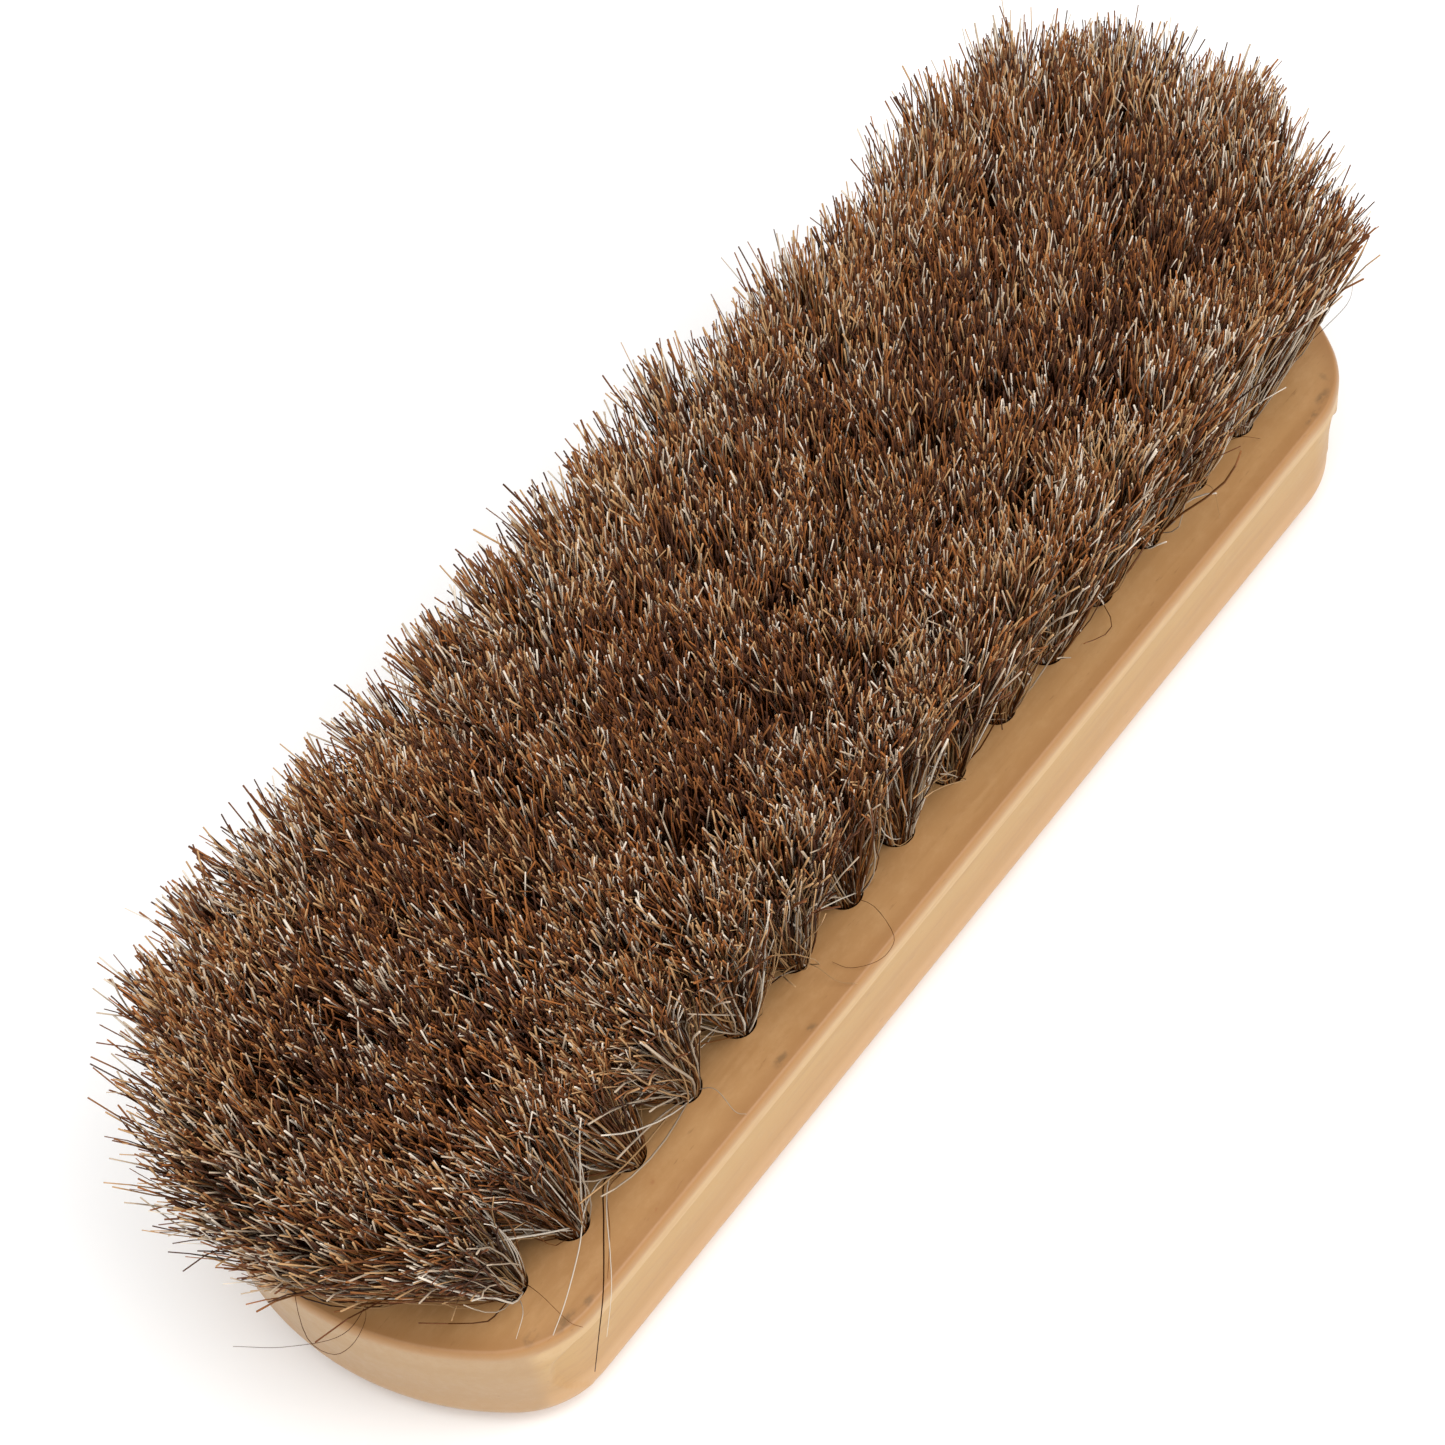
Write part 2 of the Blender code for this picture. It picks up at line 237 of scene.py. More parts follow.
def wood_material():
    material, tree, shader = new_material("varnished_wood", roughness=0.45)
    g = Graph(tree)
    edge, height = outline_distance(g)
    normal = g.node("ShaderNodeSeparateXYZ", {"Vector": tree.nodes.new(
        "ShaderNodeTexCoord").outputs["Normal"]}).outputs
    broad = g.noise(g.stretch((14, 60, 60)), 1.0, detail=3)
    grain = g.noise(g.stretch((60, 900, 900)), 1.0, detail=5, distortion=0.6)
    mottle = g.noise(g.stretch((500, 900, 900)), 1.0, detail=5, roughness=0.7)
    fleck = g.noise(g.stretch((500, 2600, 2600), (3, 1, 7)), 1.0, detail=2)
    cloud = g.noise(g.stretch((110, 160, 160), (5, 2, 1)), 1.0, detail=3)

    tone = g.mix(g.ramp(broad, 0.3, 0.7), WOOD["face_low"], WOOD["face_high"])
    tone = g.mix(g.ramp(cloud, 0.35, 0.7, 0, 0.35), tone, WOOD["cloud"])
    tone = g.mix(g.ramp(grain, 0.42, 0.72, 0, 0.30), tone, WOOD["grain"])
    # the walls are paler than the drilled face, palest just under the rim: a painted reflection
    # of the bright floor in the varnish, fading towards the bottom
    wall = g.ramp(g.math("ABSOLUTE", normal[2]), 0.80, 0.15)
    wall_tone = g.mix(g.ramp(height, 0.0075, 0.0155), WOOD["wall_low"], WOOD["wall"])
    tone = g.mix(g.math("MULTIPLY", wall, 0.9), tone, wall_tone)
    # painted highlight on the lip's outer side, just under the rim
    lip = g.ramp(height, 0.0158, 0.0176)
    tone = g.mix(g.math("MULTIPLY", g.math("MULTIPLY", wall, lip), 0.7), tone, WOOD["lip"])
    tone = g.mix(g.math("MULTIPLY", wall, g.ramp(grain, 0.45, 0.75, 0, 0.30)), tone,
                 WOOD["grain"])
    tone = g.mix(g.ramp(mottle, 0.42, 0.70, 0, 0.30), tone, WOOD["mottle"])
    # darker orange along the rim; the back edge is painted lighter and peachy, a painted
    # reflection of the bright floor; the end grain duller
    rim = g.math("MULTIPLY", g.ramp(edge, 0.0030, 0.0008), g.ramp(height, 0.0186, 0.0200))
    tone = g.mix(g.math("MULTIPLY", rim, 0.75), tone, WOOD["rim"])
    # painted reflection of the bright floor on the rounded back edge
    tone = g.mix(g.ramp(height, 0.0085, 0.0055, 0, 0.55), tone, WOOD["back_edge_reflection"])
    end = g.math("MULTIPLY", g.ramp(g.math("ABSOLUTE", normal[0]), 0.52, 0.66),
                 g.ramp(height, 0.0200, 0.0190))
    tone = g.mix(g.math("MULTIPLY", end, 0.75), tone, WOOD["end_grain"])
    tone = g.mix(g.ramp(fleck, 0.66, 0.80, 0, 0.40), tone, WOOD["fleck"])
    wobble = g.node("ShaderNodeVectorMath", {0: g.coords, 1: g.node("ShaderNodeVectorMath", {
        0: g.node("ShaderNodeTexNoise", {"Vector": g.coords, "Scale": 900.0}).outputs["Color"],
        1: (0.0008, 0.0008, 0.0008)}, operation="MULTIPLY").outputs[0]},
        operation="ADD").outputs[0]
    tone = g.mix(g.math("MULTIPLY", spots(g, PIN_KNOTS, wobble), 0.75), tone, WOOD["knot"])
    patchy = g.ramp(g.noise(g.stretch((700, 900, 900), (9, 9, 9)), 1.0, detail=3), 0.36, 0.56)
    tone = g.mix(g.math("MULTIPLY", g.math("MULTIPLY", spots(g, SMUDGES, wobble), patchy), 0.42),
                 tone, WOOD["smudge"])
    tree.links.new(tone, shader.inputs["Base Color"])

    tree.links.new(g.ramp(mottle, 0.2, 0.8, 0.42, 0.60), shader.inputs["Roughness"])
    bump = g.node("ShaderNodeBump", {"Height": grain, "Strength": 0.10, "Distance": 0.0002})
    tree.links.new(bump.outputs[0], shader.inputs["Normal"])
    shader.inputs["Specular IOR Level"].default_value = 0.35
    shader.inputs["Coat Weight"].default_value = 0.30
    shader.inputs["Coat Roughness"].default_value = 0.35
    return material


def bored_wood_material():
    material, tree, shader = new_material("bored_wood", roughness=0.8)
    g = Graph(tree)
    fibres = g.noise(g.stretch((900, 900, 200)), 1.0, detail=3)
    tone = g.mix(g.ramp(fibres, 0.3, 0.7), (0.30, 0.16, 0.07), (0.42, 0.25, 0.12))
    tree.links.new(tone, shader.inputs["Base Color"])
    return material


def anchor_material():
    material, tree, shader = new_material("anchor_wire", roughness=0.35, Metallic=1.0)
    g = Graph(tree)
    drawn = g.noise(g.stretch((400, 6000, 6000)), 1.0, detail=2)
    tone = g.mix(drawn, (0.45, 0.45, 0.47), (0.62, 0.62, 0.63))
    tree.links.new(tone, shader.inputs["Base Color"])
    return material


# Horsehair shades: (name, colour, share of the hairs). Roots share one dark colour, painted
# shade in the holes and low between the hairs.
HAIR_SHADES = (
    ("black_brown", (0.025, 0.0065, 0.0014), 0.33),
    ("dark_brown", (0.070, 0.0200, 0.0040), 0.23),
    ("brown", (0.140, 0.050, 0.012), 0.16),
    ("red_brown", (0.220, 0.076, 0.017), 0.08),
    ("tan", (0.330, 0.195, 0.090), 0.10),
    ("grey", (0.350, 0.275, 0.200), 0.06),
    ("pale", (0.560, 0.490, 0.405), 0.04),
)
# How many more hairs of each shade the outer tufts have: more pale ones, partly painted light
# for the side light on the outer rows
OUTER_SHADE_GAIN = (0.55, 1.0, 1.2, 1.0, 2.2, 2.2, 1.5)
# How much paler each cut tip is: the cut end's own paler colour plus a painted highlight where
# the tops catch the light
TIP_PALE_AND_LIT_GAIN = (1.8, 1.7, 1.5, 1.4, 1.3, 1.25, 1.2)
HAIR_SHEEN = (1.0, 0.60, 0.34, 1.0)


def hair_materials():
    """Slot 0 is the root, painted shade in the hole and low between the hairs, then each shade's
    length, then each shade's cut tip with its painted highlight.
    """
    slots = [new_material("hair_root_painted_shade", 0.6, (0.034, 0.010, 0.002), Specular_IOR_Level=0.05)[0]]
    for name, colour, _ in HAIR_SHADES:
        slots.append(new_material("hair_" + name, 0.5, colour, Specular_IOR_Level=0.09,
                                  Specular_Tint=HAIR_SHEEN)[0])
    # cut tips: their own paler colour plus a painted highlight
    for (name, colour, _), gain in zip(HAIR_SHADES, TIP_PALE_AND_LIT_GAIN):
        tip = tuple(min(0.8, c * gain + 0.012) for c in colour)
        slots.append(new_material("hair_tip_and_highlight_" + name, 0.45, tip, Specular_IOR_Level=0.18,
                                  Specular_Tint=HAIR_SHEEN)[0])
    return slots


# ---- mesh helpers -------------------------------------------------------------------
def link(name, mesh, materials, smooth_angle=None):
    for material in materials:
        mesh.materials.append(material)
    obj = bpy.data.objects.new(name, mesh)
    bpy.context.scene.collection.objects.link(obj)
    if smooth_angle is not None:
        mesh.shade_smooth()
        mesh.set_sharp_from_angle(angle=math.radians(smooth_angle))
    return obj


def applied(obj):
    """The object's mesh with its modifiers applied."""
    graph = bpy.context.evaluated_depsgraph_get()
    mesh = bpy.data.meshes.new_from_object(obj.evaluated_get(graph))
    obj.modifiers.clear()
    old = obj.data
    obj.data = mesh
    bpy.data.meshes.remove(old)
    return obj


def smoothstep(t):
    t = np.clip(t, 0.0, 1.0)
    return t * t * (3 - 2 * t)


# ---- wood block ---------------------------------------------------------------------
def block_outline(nose_steps=40, corner_steps=54, side_steps=60):
    """Plan outline as arrays of points and normals, anticlockwise from the +X nose."""
    radius = (NOSE_SAG ** 2 + HALF_WIDTH ** 2) / (2 * NOSE_SAG)
    nose_x = HALF_LENGTH - radius
    corner_y = HALF_WIDTH - CORNER_RADIUS
    corner_x = nose_x + math.sqrt((radius - CORNER_RADIUS) ** 2 - corner_y ** 2)
    join = math.atan2(corner_y, corner_x - nose_x)
    a = np.linspace(0, join, nose_steps + 1)
    b = np.linspace(join, math.pi / 2, corner_steps + 1)[1:]
    x = np.concatenate([nose_x + radius * np.cos(a), corner_x + CORNER_RADIUS * np.cos(b)])
    y = np.concatenate([radius * np.sin(a), corner_y + CORNER_RADIUS * np.sin(b)])
    t = np.concatenate([a, b])
    side_x = np.linspace(corner_x, -corner_x, side_steps + 1)[1:-1]
    x = np.concatenate([x, side_x, -x[::-1]])
    y = np.concatenate([y, np.full(len(side_x), HALF_WIDTH), y[::-1]])
    t = np.concatenate([t, np.full(len(side_x), math.pi / 2), math.pi - t[::-1]])
    x, y = np.concatenate([x, -x[1:-1]]), np.concatenate([y, -y[1:-1]])
    t = np.concatenate([t, t[1:-1] + math.pi])
    return np.stack([x, y], 1), np.stack([np.cos(t), np.sin(t)], 1)


def block_levels():
    """(height, plan inset of the rounded edges) from the back up to the face."""
    levels = [(0.0, BACK_EDGE_RADIUS + d) for d in (0.012, 0.004)]
    for a in np.radians(np.linspace(0, 88, 16)):
        levels.append((BACK_EDGE_RADIUS * (1 - math.cos(a)),
                       BACK_EDGE_RADIUS * (1 - math.sin(a))))
    depths = np.concatenate([np.linspace(0.0153, 0.0060, 16), np.linspace(0.0056, 0.0037, 7),
                             np.linspace(0.0035, 0.0029, 9), [0.0026, 0.0021, 0.0017]])
    levels += [(FACE_Z - d, 0.0) for d in depths]
    for a in np.radians(np.linspace(0, 90, 14)):
        levels.append((FACE_Z - FACE_EDGE_DROP * (1 - math.sin(a)),
                       FACE_EDGE_INSET * (1 - math.cos(a))))
    levels.append((FACE_Z, FACE_EDGE_INSET + 0.0006))
    return levels


def wall_inset(points, normals, depth):
    """How far the wall stands in from the outline: the finger recess and the ends' taper."""
    facing = np.degrees(np.arcsin(np.clip(np.abs(normals[:, 1]), 0, 1)))
    depths, insets, low_ends, high_ends = (np.array(c) for c in zip(*RECESS))
    end = np.where(points[:, 0] > 0, np.interp(depth, depths, high_ends),
                   np.interp(depth, depths, low_ends))
    recess = np.interp(depth, depths, insets) * smoothstep((facing - end) / RECESS_RAMP)
    return np.maximum(recess, END_TAPER * smoothstep((depth - 0.005) / 0.010))


def hole_cutter(holes, material):
    bm = bmesh.new()
    for x, y in holes:
        bmesh.ops.create_cone(bm, cap_ends=True, segments=28, radius1=HOLE_RADIUS,
                              radius2=HOLE_RADIUS, depth=HOLE_DEPTH + 0.002,
                              matrix=Matrix.Translation(
                                  (x, y, FACE_Z - HOLE_DEPTH / 2 + 0.001)))
    mesh = bpy.data.meshes.new("hole_cutter")
    bm.to_mesh(mesh)
    bm.free()
    return link("hole_cutter", mesh, [material])


def build_block(holes):
    points, normals = block_outline()
    bm = bmesh.new()
    rings = []
    for z, inset in block_levels():
        p = points - normals * (inset + wall_inset(points, normals, FACE_Z - z))[:, None]
        rings.append([bm.verts.new((x, y, z)) for x, y in p])
    for low, high in zip(rings, rings[1:]):
        for i in range(len(low)):
            j = (i + 1) % len(low)
            bm.faces.new((low[i], low[j], high[j], high[i]))
    bm.faces.new(list(reversed(rings[0])))
    bm.faces.new(rings[-1])
    mesh = bpy.data.meshes.new("block")
    bm.to_mesh(mesh)
    bm.free()
    block = link("block", mesh, [wood_material()])
    cutter = hole_cutter(holes, bored_wood_material())
    drill = block.modifiers.new("holes", "BOOLEAN")
    drill.operation = "DIFFERENCE"
    drill.solver = "EXACT"
    drill.material_mode = "TRANSFER"
    drill.object = cutter
    applied(block)
    bpy.data.objects.remove(cutter, do_unlink=True)
    block.data.shade_smooth()
    block.data.set_sharp_from_angle(angle=math.radians(40))
    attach(block, "root")
    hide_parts("wood_block")
    return block


# ---- holes and the tufts in them ----------------------------------------------------
SIDE_NAMES = {-2: "right", 2: "left", -1: "inner_right", 1: "inner_left", 0: "middle"}


def staggered_rows():
    side = [(i + 0.5) * HOLE_PITCH for i in range(-8, 8)]
    between = [i * HOLE_PITCH for i in range(-8, 9)]
    step = 2 * CENTRE_ROW_REACH / 15
    centre = [-CENTRE_ROW_REACH + i * step for i in range(16)]
    return {-2: side, -1: between, 0: centre, 1: between, 2: side}


def bundle_sizes(count):
    sizes = []
    while count:
        size = 3 if count not in (2, 4) else 2
        sizes.append(size)
        count -= size
    return sizes


def tuft_places():
    """One dict per tuft: its name, hole, cell and the CAD node it stands for."""
    places = []
    for row, xs in staggered_rows().items():
        label, last = SIDE_NAMES[row], len(xs) - 1
        owner = {}
        if abs(row) != 2:
            i = 1
            for number, size in enumerate(bundle_sizes(len(xs) - 2), 1):
                for k in range(i, i + size):
                    owner[k] = f"bundle_{label}_{number:02d}"
                i += size
        for i, x in enumerate(xs):
            y = row * ROW_SPACING
            hx, hy = x, y
            if abs(row) == 2 and i in (0, last):
                hy -= math.copysign(CORNER_INSET, row)
                hx -= math.copysign(CORNER_INSET * 0.5, x)
            places.append({"name": f"hair_{label}_{i + 1:02d}", "hole": (hx, hy),
                           "cell": (x, y), "row": row, "end": i in (0, last),
                           "half_x": (xs[1] - xs[0]) / 2,
                           "node": owner.get(i, f"tuft_{label}_{i + 1:02d}")})
    return places


def hair_tubes(name, paths, radii, shades, materials, painted_shade_steps=1):
    """Tubes along paths (hair, point, xyz), each with flat cut ends, as one mesh object.

    The first stretches, as many as the last argument gives, take the dark root material: painted
    shade in the hole and low between the hairs. The last stretch and the tip cap take the paler
    tip material, which carries a painted highlight.
    """
    count, steps = paths.shape[:2]
    tangent = np.gradient(paths, axis=1)
    tangent /= np.linalg.norm(tangent, axis=2, keepdims=True)
    u = np.cross(tangent, np.array([0.31, 0.95, 0.05]))
    u /= np.linalg.norm(u, axis=2, keepdims=True)
    v = np.cross(tangent, u)
    turn = 2 * math.pi * np.arange(HAIR_SIDES) / HAIR_SIDES
    ring = (u[:, :, None] * np.cos(turn)[:, None] + v[:, :, None] * np.sin(turn)[:, None])
    verts = paths[:, :, None] + ring * radii[:, :, None, None]

    per_hair = steps * HAIR_SIDES
    s, k = np.meshgrid(np.arange(steps - 1), np.arange(HAIR_SIDES), indexing="ij")
    a = s * HAIR_SIDES + k
    b = s * HAIR_SIDES + (k + 1) % HAIR_SIDES
    quads = np.stack([a, a + HAIR_SIDES, b + HAIR_SIDES, b], -1).reshape(-1, 4)
    root_cap = np.arange(HAIR_SIDES)[None]
    tip_cap = ((steps - 1) * HAIR_SIDES + np.arange(HAIR_SIDES))[::-1][None]
    one = np.concatenate([quads, root_cap, tip_cap])
    faces = (one[None] + (np.arange(count) * per_hair)[:, None, None]).reshape(-1, 4)

    zone = np.concatenate([np.repeat(np.arange(steps - 1), HAIR_SIDES), [0, steps - 1]])
    n = len(HAIR_SHADES)
    # painted shade on the root stretches, the paler tip with its painted highlight on the last
    # stretch and the cap
    index = np.where(zone < painted_shade_steps, 0, np.where(zone < steps - 2, 1, 1 + n))
    index = np.where(index[None] == 0, 0, index[None] + shades[:, None]).reshape(-1)

    mesh = bpy.data.meshes.new(name)
    mesh.vertices.add(count * per_hair)
    mesh.vertices.foreach_set("co", verts.astype(np.float32).ravel())
    mesh.loops.add(faces.size)
    mesh.loops.foreach_set("vertex_index", faces.astype(np.int32).ravel())
    mesh.polygons.add(len(faces))
    mesh.polygons.foreach_set("loop_start", np.arange(0, faces.size, 4, dtype=np.int32))
    mesh.polygons.foreach_set("material_index", index.astype(np.int32))
    smooth = np.tile(np.concatenate([np.ones(len(quads), bool), [False, False]]), count)
    mesh.polygons.foreach_set("use_smooth", smooth)
    mesh.update(calc_edges=True)
    mesh.validate()
    return link(name, mesh, materials)


def field_point(x, y):
    """Where the trimmed surface holds the hair that would stand at (x, y) if none leaned."""
    far_corner = np.clip(x / 0.07, 0, 1) * smoothstep(-y / 0.010)
    near_corner = np.clip(-x / 0.07, 0, 1) * smoothstep((y - 0.003) / 0.012)
    swept = smoothstep((-x - 0.045) / 0.030) * smoothstep((-y - 0.004) / 0.014)
    drift = DRIFT_Y - DRIFT_TURN * x + END_SWEEP * swept - NEAR_CORNER_SHIFT * near_corner
    stretch = 1 + SPLAY_X - FAR_CORNER_DRAW * far_corner - NEAR_CORNER_DRAW * near_corner
    return np.stack([x * stretch + SHIFT_X, y * (1 + SPLAY_Y) + drift], -1)


def tuft_paths(place, count):
    """Centre lines of one tuft's hairs, from its anchor up to the trimmed tips."""
    hx, hy = place["hole"]
    cx, cy = place["cell"]
    outer = abs(place["row"]) == 2
    angle = rng.uniform(0, 2 * math.pi, count)
    disc = np.sqrt(rng.uniform(0, 1, count))
    root = np.stack([np.cos(angle), np.sin(angle)], 1) * disc[:, None]

    # hairs stick together in locks of a few dozen
    locks = LOCKS_PER_TUFT
    lock_angle = rng.uniform(0, 2 * math.pi, locks)
    lock_disc = np.sqrt(rng.uniform(0, 1, locks))
    lock_at = np.stack([np.cos(lock_angle), np.sin(lock_angle)], 1) * lock_disc[:, None]
    lock_rise = rng.normal(0, 0.0008, locks)
    lock_lean = rng.normal(0, LOCK_LEAN, (locks, 2)).clip(-LOCK_LEAN_LIMIT, LOCK_LEAN_LIMIT)
    nearest = np.argmin(np.linalg.norm(root[:, None] - lock_at[None], axis=2)
                        + rng.normal(0, 0.22, (count, locks)), axis=1)
    u = root * 0.72 + lock_at[nearest] * 0.28 + rng.normal(0, 0.17, (count, 2))
    spread = np.array([0.0066, 0.0054 if outer else 0.0067])
    lean = rng.normal(0, TUFT_LEAN, 2).clip(-TUFT_LEAN_LIMIT, TUFT_LEAN_LIMIT)
    at = np.array([cx, cy]) + lean + lock_lean[nearest] + u * spread
    tip = field_point(at[:, 0], at[:, 1])
    mouth = np.array([hx, hy]) + root * HOLE_RADIUS * 0.93
    side = tip - mouth

    length = BRISTLE_HEIGHT * (1.025 + rng.normal(0, 0.012, count)) + lock_rise[nearest]
    reach = np.linalg.norm(side, axis=1)
    rise = np.sqrt(np.maximum(length ** 2 - 0.80 * reach ** 2, (0.4 * length) ** 2))
    top = BRISTLE_HEIGHT + lock_rise[nearest] + rng.normal(0, 0.0004, count)
    rise = np.minimum(rise, top)

    # unruly hairs: they leave the mouth low along the row and cross their neighbours
    wild = rng.uniform(0, 1, count) < UNRULY_SHARE["outer" if outer else "inner"]
    heading = rng.uniform(0, 2 * math.pi, count)
    stray = np.stack([np.cos(heading) - 0.35, 0.40 * np.sin(heading)], 1)
    if outer or place["end"]:
        stray[:, 1] = -math.copysign(1, cy) * np.abs(stray[:, 1])
    stray *= rng.uniform(0.003, 0.009, count)[:, None]
    if place["end"]:
        stray = np.abs(stray) * (math.copysign(0.15, cx), -0.3 * math.copysign(1, cy))
    side = np.where(wild[:, None], side * 0.8 + stray, side)
    rise = np.where(wild, np.minimum(rise, rng.uniform(0.010, BRISTLE_HEIGHT, count)), rise)

    t = HAIR_STEPS[None]
    power = rng.normal(1.20 if outer else 0.86, 0.20, count).clip(0.5, 1.6)[:, None]
    go = t ** power
    sway = rng.normal(0, 0.0006, (count, 2)) * np.where(wild, 2.0, 1.0)[:, None]
    flick = rng.normal(0, 0.0012, (count, 1, 2))
    wave = np.sin(math.pi * t)[..., None] * sway[:, None] + (t ** 4)[..., None] * flick \
        + np.sin(2 * math.pi * t)[..., None] * rng.normal(0, 0.00025, (count, 1, 2))
    xy = mouth[:, None] + side[:, None] * go[..., None] + wave
    z = FACE_Z + rise[:, None] * t
    above = np.concatenate([xy, z[..., None]], 2)

    fold = np.stack([hx + root[:, 0] * 0.0011,
                     hy + np.sign(root[:, 1]) * 0.0004 + root[:, 1] * 0.0006,
                     np.full(count, FACE_Z - ANCHOR_DEPTH)], 1)
    return np.concatenate([fold[:, None], above], 1), nearest, wild


def pick_shades(lock, wild, outer):
    """A shade for every hair: tufts and locks vary; outer tufts and their unruly hairs are
    paler, partly painted light for the side light on the outer rows.
    """
    share = np.array([s[2] for s in HAIR_SHADES]) * rng.uniform(0.6, 1.4, len(HAIR_SHADES))
    if outer:
        share *= OUTER_SHADE_GAIN
    mix = share * rng.uniform(0.3, 1.7, (lock.max() + 1, len(share)))
    limits = np.cumsum(mix / mix.sum(axis=1, keepdims=True), axis=1)
    shades = (rng.uniform(0, 1, len(lock))[:, None] > limits[lock]).sum(axis=1)
    shades = shades.clip(0, len(share) - 1)
    if outer:
        # unruly outer hairs turn pale, partly as painted side light
        pale_and_sidelit = wild & (rng.uniform(0, 1, len(lock)) < 0.5)
        shades[pale_and_sidelit] = rng.integers(len(share) - 3, len(share), pale_and_sidelit.sum())
    return shades


def build_tuft(place, materials):
    paths, lock, wild = tuft_paths(place, HAIRS_PER_TUFT)
    radius = rng.normal(HAIR_RADIUS, HAIR_RADIUS_SPREAD, HAIRS_PER_TUFT).clip(0.00005, 0.00016)
    taper = np.concatenate([[0.7], np.interp(HAIR_STEPS, [0, 0.4, 1], [0.75, 1.0, 0.95])])
    radii = radius[:, None] * taper[None]
    outside = abs(place["row"]) == 2 or place["end"]
    shades = pick_shades(lock, wild, outside)
    # inner tufts carry the painted root shade over their lower third, outer and end tufts only
    # inside the hole
    obj = hair_tubes(place["name"], paths, radii, shades, materials, 1 if outside else 4)
    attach(obj, "root")
    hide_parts(place["node"])
    return obj


# ---- wire anchors -------------------------------------------------------------------
def build_anchors(places):
    """A flat wire across each fold, with its ends bent down just short of the hole's wall."""
    half, width, thick = HOLE_RADIUS - 0.00025, 0.0007, 0.00016
    z = FACE_Z - ANCHOR_DEPTH - 0.0002  # just under the fold
    line = [(-half, -0.0008), (-half * 0.9, 0.0), (0.0, 0.00012), (half * 0.9, 0.0),
            (half, -0.0008)]
    bm = bmesh.new()
    for place in places:
        hx, hy = place["hole"]
        rings = []
        for x, dz in line:
            rings.append([bm.verts.new((hx + x, hy + a * width / 2, z + dz + b * thick))
                          for a, b in ((-1, -1), (1, -1), (1, 1), (-1, 1))])
        for low, high in zip(rings, rings[1:]):
            for i in range(4):
                j = (i + 1) % 4
                bm.faces.new((low[i], low[j], high[j], high[i]))
        bm.faces.new(list(reversed(rings[0])))
        bm.faces.new(rings[-1])
    bmesh.ops.recalc_face_normals(bm, faces=bm.faces)
    mesh = bpy.data.meshes.new("anchor_wires")
    bm.to_mesh(mesh)
    bm.free()
    obj = link("anchor_wires", mesh, [anchor_material()])
    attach(obj, "root")
    return obj


# ---- stray hairs --------------------------------------------------------------------
# Loose hairs that hang or curl over the wood: shade, radius, route in millimetres
STRAYS = (
    ("black_brown", 0.10, ((-54.2, -19.4, 20.0), (-57.2, -19.9, 23.4), (-61.4, -23.4, 25.2),
                           (-66.9, -27.6, 24.2), (-70.4, -29.4, 21.5), (-72.5, -29.8, 16.5))),
    ("pale", 0.10, ((-54.4, -19.2, 20.0), (-57.6, -19.5, 23.4), (-61.5, -20.9, 25.0),
                    (-65.1, -23.1, 25.0), (-70.1, -25.2, 24.0), (-73.1, -25.5, 21.2))),
    ("pale", 0.07, ((-54.0, -19.6, 20.0), (-56.8, -20.2, 23.4), (-60.4, -23.0, 25.2),
                    (-63.6, -26.0, 25.4), (-66.8, -28.6, 24.4), (-69.9, -29.9, 20.6))),
    ("brown", 0.05, ((-54.2, -19.5, 20.0), (-58.0, -21.0, 23.6), (-61.6, -24.2, 24.0),
                     (-65.6, -27.0, 23.4))),
    ("dark_brown", 0.045, ((-80.0, 1.6, 20.0), (-85.0, -1.8, 26.5), (-88.6, -6.0, 24.4),
                           (-88.0, -8.3, 21.4), (-85.9, -9.2, 21.0), (-83.1, -8.7, 21.4),
                           (-81.7, -7.6, 22.6))),
    ("dark_brown", 0.04, ((-14.4, -19.0, 20.0), (-14.6, -23.0, 22.4), (-16.2, -26.9, 22.5),
                          (-17.8, -27.6, 22.0), (-19.7, -27.0, 21.5), (-21.6, -25.0, 21.0),
                          (-22.1, -23.0, 21.0))),
    ("tan", 0.07, ((-24.0, -19.6, 20.0), (-24.2, -22.4, 22.6), (-23.8, -25.0, 21.4),
                   (-22.6, -26.8, 20.9))),
    ("tan", 0.05, ((52.6, -19.4, 20.0), (51.6, -22.6, 22.6), (49.6, -25.0, 21.0))),
    ("dark_brown", 0.045, ((60.0, -19.4, 20.0), (59.4, -21.6, 23.0), (61.6, -22.6, 20.9))),
    ("dark_brown", 0.045, ((71.9, -18.6, 20.0), (77.6, -21.2, 24.0), (79.4, -22.9, 28.0),
                           (78.6, -23.6, 34.0))),
    ("brown", 0.045, ((-70.0, -18.8, 20.0), (-70.6, -22.0, 22.0), (-71.0, -25.8, 21.2),
                      (-70.6, -27.4, 21.0))),
    ("grey", 0.06, ((-43.2, -19.4, 20.0), (-42.2, -22.6, 23.2), (-42.6, -25.6, 22.0),
                    (-41.8, -26.4, 20.9))),
    ("pale", 0.06, ((-71.6, -19.6, 20.0), (-73.4, -22.0, 22.6), (-75.6, -22.6, 21.0))),
    ("dark_brown", 0.04, ((-79.4, -6.6, 20.0), (-86.0, -9.0, 24.0), (-91.0, -6.0, 26.0),
                          (-94.0, -1.0, 25.0))),
)


def smooth_route(route, steps=24):
    """A Catmull-Rom curve through the points, in metres."""
    p = np.array(route) / 1000
    p = np.concatenate([[2 * p[0] - p[1]], p, [2 * p[-1] - p[-2]]])
    out = []
    for s in np.linspace(0, len(route) - 1, steps):
        i = min(int(s), len(route) - 2)
        t = s - i
        a, b, c, d = p[i:i + 4]
        out.append(0.5 * (2 * b + (c - a) * t + (2 * a - 5 * b + 4 * c - d) * t ** 2
                          + (3 * b - a - 3 * c + d) * t ** 3))
    return np.array(out)


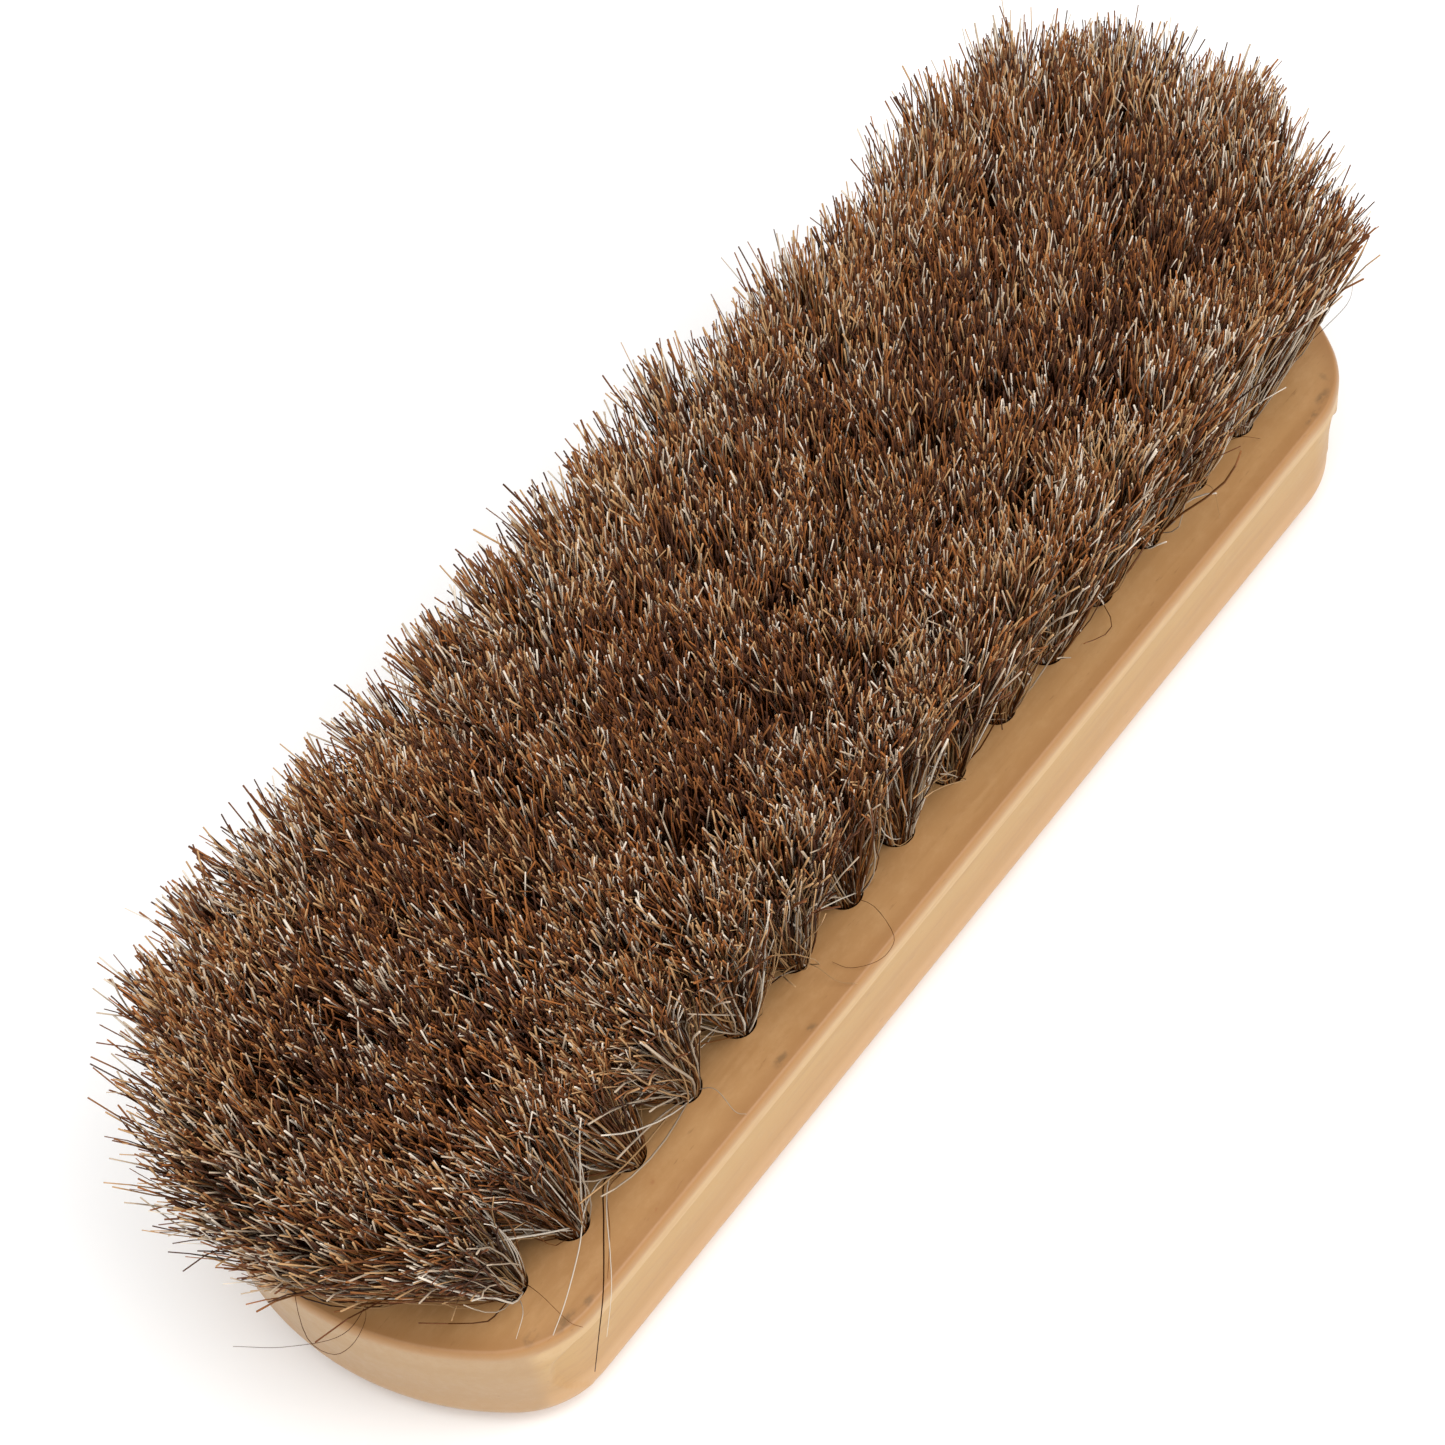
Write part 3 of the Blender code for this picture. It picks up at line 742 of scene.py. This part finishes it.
def build_strays(materials):
    names = [shade[0] for shade in HAIR_SHADES]
    paths = np.stack([smooth_route(route) for _, _, route in STRAYS])
    radii = np.array([radius / 1000 for _, radius, _ in STRAYS])
    radii = radii[:, None] * np.linspace(1.0, 0.6, paths.shape[1])[None]
    shades = np.array([names.index(shade) for shade, _, _ in STRAYS])
    obj = hair_tubes("stray_hairs", paths, radii, shades, materials)
    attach(obj, "root")
    return obj


# ---- floor, light and camera --------------------------------------------------------
def build_stage():
    bm = bmesh.new()
    bmesh.ops.create_grid(bm, x_segments=1, y_segments=1, size=3.0)
    mesh = bpy.data.meshes.new("floor")
    bm.to_mesh(mesh)
    bm.free()
    material, _, _ = new_material("floor_paper", 0.9, (0.92, 0.92, 0.92))
    floor = link("floor", mesh, [material])
    floor.location.z = -0.0001


def area_light(name, location, target, size, power, colour=(1, 1, 1)):
    light = bpy.data.lights.new(name, "AREA")
    light.shape = "DISK"
    light.size = size
    light.energy = power
    light.color = colour
    obj = bpy.data.objects.new(name, light)
    obj.location = location
    direction = Vector(target) - Vector(location)
    obj.rotation_euler = direction.to_track_quat("-Z", "Y").to_euler()
    bpy.context.scene.collection.objects.link(obj)


def build_lights():
    world = bpy.data.worlds.new("studio")
    world.use_nodes = True
    background = world.node_tree.nodes["Background"]
    background.inputs["Color"].default_value = (1.0, 1.0, 1.0, 1.0)
    background.inputs["Strength"].default_value = 0.50
    bpy.context.scene.world = world
    area_light("key", (0.20, -0.50, 0.74), (0, 0, 0.02), 0.8, 5.2, (1.0, 0.98, 0.95))
    area_light("top", (-0.12, 0.0, 0.95), (0, 0, 0.02), 0.8, 4.8)
    area_light("fill", (-0.55, -0.30, 0.45), (0, 0, 0.02), 0.6, 1.6)
    bpy.context.scene.view_settings.view_transform = "Standard"


def build_camera():
    """The photograph's viewpoint: azimuth, elevation and roll in degrees, place in metres."""
    azimuth, elevation, roll = (math.radians(a) for a in (-44.457, 57.216, -9.458))
    camera = bpy.data.cameras.new("camera")
    camera.sensor_width = 36.0
    camera.lens = 93.0
    camera.clip_start = 0.01
    toward = Vector((math.cos(elevation) * math.sin(azimuth),
                     -math.cos(elevation) * math.cos(azimuth), math.sin(elevation)))
    right = (-toward).cross(Vector((0, 0, 1))).normalized()
    up = right.cross(-toward)
    r = right * math.cos(roll) + up * math.sin(roll)
    u = up * math.cos(roll) - right * math.sin(roll)
    obj = bpy.data.objects.new("camera", camera)
    matrix = Matrix((r, u, toward)).transposed().to_4x4()
    matrix.translation = Vector((-0.16321, -0.15626, 0.35189 + FACE_Z))
    obj.matrix_world = matrix
    bpy.context.scene.collection.objects.link(obj)
    bpy.context.scene.camera = obj


def main():
    places = tuft_places()
    build_block([p["hole"] for p in places])
    materials = hair_materials()
    for place in places:
        build_tuft(place, materials)
    build_strays(materials)
    build_anchors(places)
    build_stage()
    build_lights()
    build_camera()


main()
